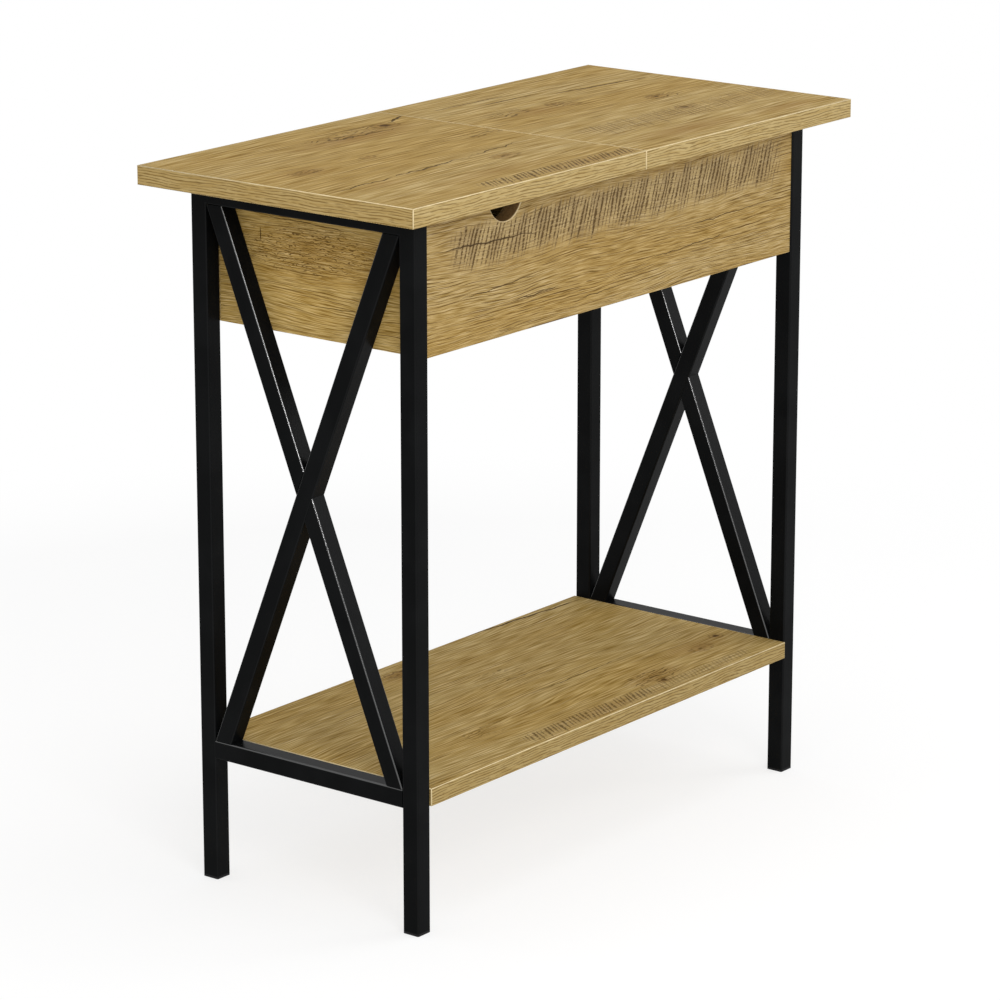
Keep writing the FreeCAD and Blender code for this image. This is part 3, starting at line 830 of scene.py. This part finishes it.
# Front apron: its outline runs round the finger notch, which is raw board inside, darkened as painted
# shade, and has a trimmed pale rim.
# Recesses in its underside clear the frame's tabs.
apronSizes = {
    "radius": 21.5 * mm, "steps": 40, "rim": 0.8 * mm, "ease": 0.4 * mm, "segments": 2,
    "tabClearance": 0.5 * mm, "slack": 0.1 * mm, "near": 1.0 * mm, "touch": 10 * weld,
}
apronSlots = {"print": 0, "rim": 1, "rawAndShade": 2}


# Cuts a mesh all round along a plane
def cutAcross(bm, place, normal):
    everything = bm.verts[:] + bm.edges[:] + bm.faces[:]
    bmesh.ops.bisect_plane(bm, geom=everything, dist=weld, plane_co=place, plane_no=normal)


# Sinks a recess into a board's underside and out through its end
def sinkRecess(bm, start, end, slot):
    for normal in ((1, 0, 0), (0, 1, 0)):
        cutAcross(bm, start, normal)
        cutAcross(bm, end, normal)
    cutAcross(bm, end, (0, 0, 1))

    def isInside(face):
        middle = face.calc_center_median()
        return all(first - weld < value < last + weld for first, value, last in zip(start, middle, end))

    openings = [face for face in bm.faces if isInside(face)]
    mouths = [face.calc_center_median() for face in openings]
    bmesh.ops.delete(bm, geom=openings, context="FACES")

    def isMouth(face):
        middle = face.calc_center_median()
        return any((middle - mouth).length < apronSizes["touch"] for mouth in mouths)

    walls = addBox(bm, start, end)
    for face in walls:
        face.material_index = slot
    shut = [face for face in walls if isMouth(face)]
    bmesh.ops.delete(bm, geom=shut, context="FACES")
    bmesh.ops.remove_doubles(bm, verts=bm.verts[:], dist=weld)


# Does an edge stay on the apron's front or on its back
def staysOnFace(edge):
    return abs(edge.verts[0].co.y - edge.verts[1].co.y) < apronSizes["near"]


def frontApron():
    low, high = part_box("front_apron")
    lidLow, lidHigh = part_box("lid_edge_bands")
    middle = Vector(((lidLow.x + lidHigh.x) / 2, low.y, high.z))
    bm = bmesh.new()
    start = bm.verts.new(middle + Vector((apronSizes["radius"], 0, 0)))
    turned = bmesh.ops.spin(bm, geom=[start], cent=middle, axis=(0, 1, 0), angle=pi,
                            steps=apronSizes["steps"], use_merge=False, use_duplicate=False)
    end = next(item for item in turned["geom_last"] if isinstance(item, bmesh.types.BMVert))
    corners = [(low.x, high.z), (low.x, low.z), (high.x, low.z), (high.x, high.z)]
    chain = [end] + [bm.verts.new((x, low.y, z)) for x, z in corners] + [start]
    for first, second in zip(chain, chain[1:]):
        bm.edges.new((first, second))
    bmesh.ops.contextual_create(bm, geom=bm.edges[:])
    pulled = bmesh.ops.extrude_face_region(bm, geom=bm.faces[:], use_keep_orig=True)
    verts = [item for item in pulled["geom"] if isinstance(item, bmesh.types.BMVert)]
    bmesh.ops.translate(bm, vec=(0, high.y - low.y, 0), verts=verts)
    bmesh.ops.recalc_face_normals(bm, faces=bm.faces[:])
    reach = apronSizes["radius"] + apronSizes["slack"]
    foot = low.z + apronSizes["near"]

    def onNotch(item):
        return all((vert.co - middle).xz.length < reach for vert in item.verts)

    def atFoot(edge):
        return all(vert.co.z < foot for vert in edge.verts)

    for face in bm.faces:
        if onNotch(face):
            face.smooth = True
            face.material_index = apronSlots["rawAndShade"]
    rim = [edge for edge in bm.edges if onNotch(edge) and staysOnFace(edge)]
    roundOver(bm, rim, apronSizes["rim"], apronSizes["segments"], apronSlots["rim"])
    under = [edge for edge in bm.edges if atFoot(edge) and staysOnFace(edge)]
    roundOver(bm, under, apronSizes["ease"], apronSizes["segments"], apronSlots["print"])
    clear = apronSizes["tabClearance"]
    for tabLow, tabHigh in solidBoxes("left_tabs") + solidBoxes("right_tabs"):
        if tabLow.z > low.z and tabHigh.y < high.y:
            recessLow = Vector((max(tabLow.x - clear, low.x), tabLow.y - clear, low.z))
            recessHigh = Vector((min(tabHigh.x + clear, high.x), tabHigh.y + clear, tabHigh.z))
            sinkRecess(bm, recessLow, recessHigh, apronSlots["rawAndShade"])
    bmesh.ops.recalc_face_normals(bm, faces=bm.faces[:])
    finishes = [oakFront, bandCore, rawBoardAndShade]
    finishPiece("frontApron", bm, finishes, "table", ["front_apron"])


frontApron()
print("front apron modelled")

# Fasteners: turned heads with a driver's recess. A head's outline is given as radius and depth, in mm.
fastenerStyles = {
    "countersunk": {
        "head": [(3.05, 0), (1.55, 1.5)], "tip": 3.0, "drive": "cross", "reach": 1.7, "recess": 1.1,
    },
    "pan": {
        "head": [(2.6, 0), (3.5, 0.4), (4.0, 1.2), (4.0, 2.4), (2.0, 2.4)], "tip": 3.0,
        "drive": "cross", "reach": 2.1, "recess": 1.4,
    },
    "button": {
        "head": [(3.2, 0), (4.3, 0.6), (5.0, 2.0), (5.0, 3.5), (2.9, 3.5)], "tip": 1.0,
        "drive": "hex", "reach": 2.3, "recess": 1.8,
    },
    "cam": {
        "head": [(6.9, 0), (7.5, 0.4)], "tip": 0.5, "drive": "cross", "reach": 3.6, "recess": 1.6,
    },
}
fastenerLook = {
    "segments": 24, "armWidth": 0.32, "taper": 0.65, "tipShare": 0.25, "sharp": 30, "rightFrom": 100 * mm,
}


def driveEdges(bm, style):
    reach = style["reach"] * mm
    if style["drive"] == "hex":
        verts = bmesh.ops.create_circle(bm, segments=6, radius=reach)["verts"]
        return linked(verts, "link_edges")
    half = reach * fastenerLook["armWidth"] / 2
    corners = []
    for quarter in range(4):
        turn = Matrix.Rotation(quarter * pi / 2, 3, "Z")
        for x, y in ((reach, -half), (reach, half), (half, half)):
            corners.append(bm.verts.new(turn @ Vector((x, y, 0))))
    return [bm.edges.new(pair) for pair in zip(corners, corners[1:] + corners[:1])]


# Pulls a loop of edges down and narrows it; gives the new loop
def pulledLoop(bm, edges, share, drop):
    made = bmesh.ops.extrude_edge_only(bm, edges=edges)["geom"]
    verts = [item for item in made if isinstance(item, bmesh.types.BMVert)]
    bmesh.ops.scale(bm, vec=(share, share, 1), verts=verts)
    bmesh.ops.translate(bm, vec=(0, 0, -drop), verts=verts)
    return [edge for edge in made if isinstance(edge, bmesh.types.BMEdge)
            and all(vert in verts for vert in edge.verts)]


def addFastener(bm, style, place, facing, length):
    count = len(bm.verts)
    drive = driveEdges(bm, style)
    outline = [(radius * mm, depth * mm) for radius, depth in style["head"]]
    shank = outline[-1][0]
    outline.append((shank, length - style["tip"] * mm))
    outline.append((shank * fastenerLook["tipShare"], length))
    rim = bmesh.ops.create_circle(bm, segments=fastenerLook["segments"], radius=outline[0][0])["verts"]
    loop = linked(rim, "link_edges")
    bmesh.ops.triangle_fill(bm, edges=loop + drive, use_beauty=True, normal=(0, 0, 1))
    floor = pulledLoop(bm, drive, fastenerLook["taper"], style["recess"] * mm)
    bmesh.ops.contextual_create(bm, geom=floor)
    for (radius, depth), (nextRadius, nextDepth) in zip(outline, outline[1:]):
        loop = pulledLoop(bm, loop, nextRadius / radius, nextDepth - depth)
    bmesh.ops.contextual_create(bm, geom=loop)
    bm.verts.ensure_lookup_table()
    turn = Vector((0, 0, 1)).rotation_difference(facing).to_matrix()
    bmesh.ops.rotate(bm, cent=(0, 0, 0), matrix=turn, verts=bm.verts[count:])
    bmesh.ops.translate(bm, vec=place, verts=bm.verts[count:])


def fasteners(name, node, body, styleName, axis):
    bm = bmesh.new()
    for low, high in solidBoxes(node):
        middle = (low + high) / 2
        facing = Vector(axis)
        if middle.x > fastenerLook["rightFrom"] and facing.x:
            facing.negate()  # the right end looks the other way
        size = high - low
        length = abs(size.dot(facing))
        addFastener(bm, fastenerStyles[styleName], middle + facing * length / 2, facing, length)
    for face in bm.faces:
        face.smooth = True
    bmesh.ops.recalc_face_normals(bm, faces=bm.faces[:])
    piece = finishPiece(name, bm, [zinc], body, [node])
    piece.data.set_sharp_from_angle(angle=radians(fastenerLook["sharp"]))


fasteners("apronHingeScrews", "apron_hinge_screws", "table", "countersunk", (0, 1, 0))
fasteners("lidHingeScrews", "lid_hinge_screws", "lid", "countersunk", (0, 0, -1))
fasteners("tabScrews", "tab_screws", "table", "pan", (0, 0, -1))
fasteners("fixedTopScrews", "fixed_top_screws", "table", "pan", (0, 0, -1))
fasteners("boxBolts", "box_bolts", "table", "button", (1, 0, 0))
fasteners("camNuts", "cam_nuts", "table", "cam", (1, 0, 0))
print("fasteners turned")

# CAD nodes that keep their shape get their finish
nodeFinishes = {
    "lid_board": oakLid,
    "fixed_top_board": oakFixedTop,
    "shelf_board": oakShelf,
    "bottom_panel": oakInside,
    "back_apron": oakFront,
    "left_end_panel": oakEnd,
    "right_end_panel": oakEnd,
    "divider": oakEnd,
    "panel_dowels": dowelBeech,
    "fixed_top_dowels": dowelBeech,
}


def finishOf(node):
    if node in nodeFinishes:
        return nodeFinishes[node]
    if node.endswith(("_leg", "_rail", "_brace", "_tabs")):
        return coat
    if node.endswith("_foot"):
        return plastic
    return zinc


for nodeName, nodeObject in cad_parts.items():
    for materialSlot in nodeObject.material_slots:
        materialSlot.material = finishOf(nodeName)
print("CAD nodes finished")


# 1 for rays that see or mirror the stage, 0 for those that only light the table
def seenRays(tree):
    rays = addNode(tree, "LightPath", {}).outputs
    seen = calc(tree, "MAXIMUM", rays["Is Camera Ray"], rays["Is Glossy Ray"])
    return calc(tree, "MAXIMUM", seen, rays["Is Transmission Ray"])


# Floor: pale, keeps the shadow near the table and turns to plain white further out
floorLook = {
    "radius": 6.0, "segments": 96, "drop": 0.3 * mm, "shade": (0.80, 0.80, 0.80, 1), "lift": 0.30,
    "white": 1.0, "veil": 0.58, "fadeFrom": 0.55, "fadeTo": 1.30,
}


def buildFloor():
    bm = bmesh.new()
    bmesh.ops.create_circle(bm, cap_ends=True, segments=floorLook["segments"], radius=floorLook["radius"])
    bmesh.ops.translate(bm, vec=(0, 0, -floorLook["drop"]), verts=bm.verts[:])
    mesh = bpy.data.meshes.new("floor")
    bm.to_mesh(mesh)
    bm.free()
    material = bpy.data.materials.new("floorPale")
    material.use_nodes = True
    tree = material.node_tree
    tree.nodes.clear()
    seen = seenRays(tree)
    place = addNode(tree, "TexCoord", {}).outputs["Object"]
    out = fade(tree, distance(tree, place), floorLook["fadeFrom"], floorLook["fadeTo"])
    pale = addNode(tree, "BsdfDiffuse", {"Color": floorLook["shade"]}).outputs[0]
    glow = calc(tree, "MULTIPLY", seen, floorLook["lift"])
    lift = addNode(tree, "Emission", {"Strength": glow}).outputs[0]
    near = addNode(tree, "AddShader", {0: pale, 1: lift}).outputs[0]
    white = addNode(tree, "Emission", {"Strength": floorLook["white"]}).outputs[0]
    whiteOut = calc(tree, "MULTIPLY", calc(tree, "MAXIMUM", out, floorLook["veil"]), seen)
    both = addNode(tree, "MixShader", {0: whiteOut, 1: near, 2: white}).outputs[0]
    addNode(tree, "OutputMaterial", {"Surface": both})
    mesh.materials.append(material)
    floor = bpy.data.objects.new("floor", mesh)
    bpy.context.scene.collection.objects.link(floor)


# World: soft even light on the table, white where it is seen or mirrored
worldLook = {"light": 0.62, "white": 1.0}


def buildWorld():
    world = bpy.data.worlds.new("studio")
    bpy.context.scene.world = world
    world.use_nodes = True
    tree = world.node_tree
    tree.nodes.clear()
    seen = seenRays(tree)
    strength = calc(tree, "MULTIPLY_ADD", seen, worldLook["white"] - worldLook["light"], worldLook["light"])
    sky = addNode(tree, "Background", {"Color": (1, 1, 1, 1), "Strength": strength}).outputs[0]
    addNode(tree, "OutputWorld", {"Surface": sky})


lampLook = {
    "key": {"place": (-1.7, -2.3, 2.0), "size": 1.4, "watts": 31},
    "top": {"place": (0.2, -0.4, 2.5), "size": 1.2, "watts": 7},
    "front": {"place": (-2.55, -1.98, 1.20), "size": 0.25, "watts": 12},
    "side": {"place": (2.28, -1.76, 1.15), "size": 0.9, "watts": 12},
}
lampTarget = Vector((0, 0, 0.35))


def buildLamps():
    for name, look in lampLook.items():
        data = bpy.data.lights.new(name, "AREA")
        data.size = look["size"]
        data.energy = look["watts"]
        lamp = bpy.data.objects.new(name, data)
        lamp.location = look["place"]
        lamp.rotation_euler = (lampTarget - lamp.location).to_track_quat("-Z", "Y").to_euler()
        bpy.context.scene.collection.objects.link(lamp)


# Camera at the photograph's angle, for a square picture
cameraLook = {
    "eye": (-2.8178, -2.1925, 1.2762), "toward": (0.7596, 0.5934, -0.2664), "lens": 155.94, "sensor": 36.0,
}


def buildCamera():
    data = bpy.data.cameras.new("camera")
    data.lens = cameraLook["lens"]
    data.sensor_width = cameraLook["sensor"]
    camera = bpy.data.objects.new("camera", data)
    camera.location = cameraLook["eye"]
    camera.rotation_euler = Vector(cameraLook["toward"]).to_track_quat("-Z", "Y").to_euler()
    bpy.context.scene.collection.objects.link(camera)
    bpy.context.scene.camera = camera


buildFloor()
buildWorld()
buildLamps()
buildCamera()
bpy.context.scene.view_settings.view_transform = "Standard"
print("stage, lamps and camera set")
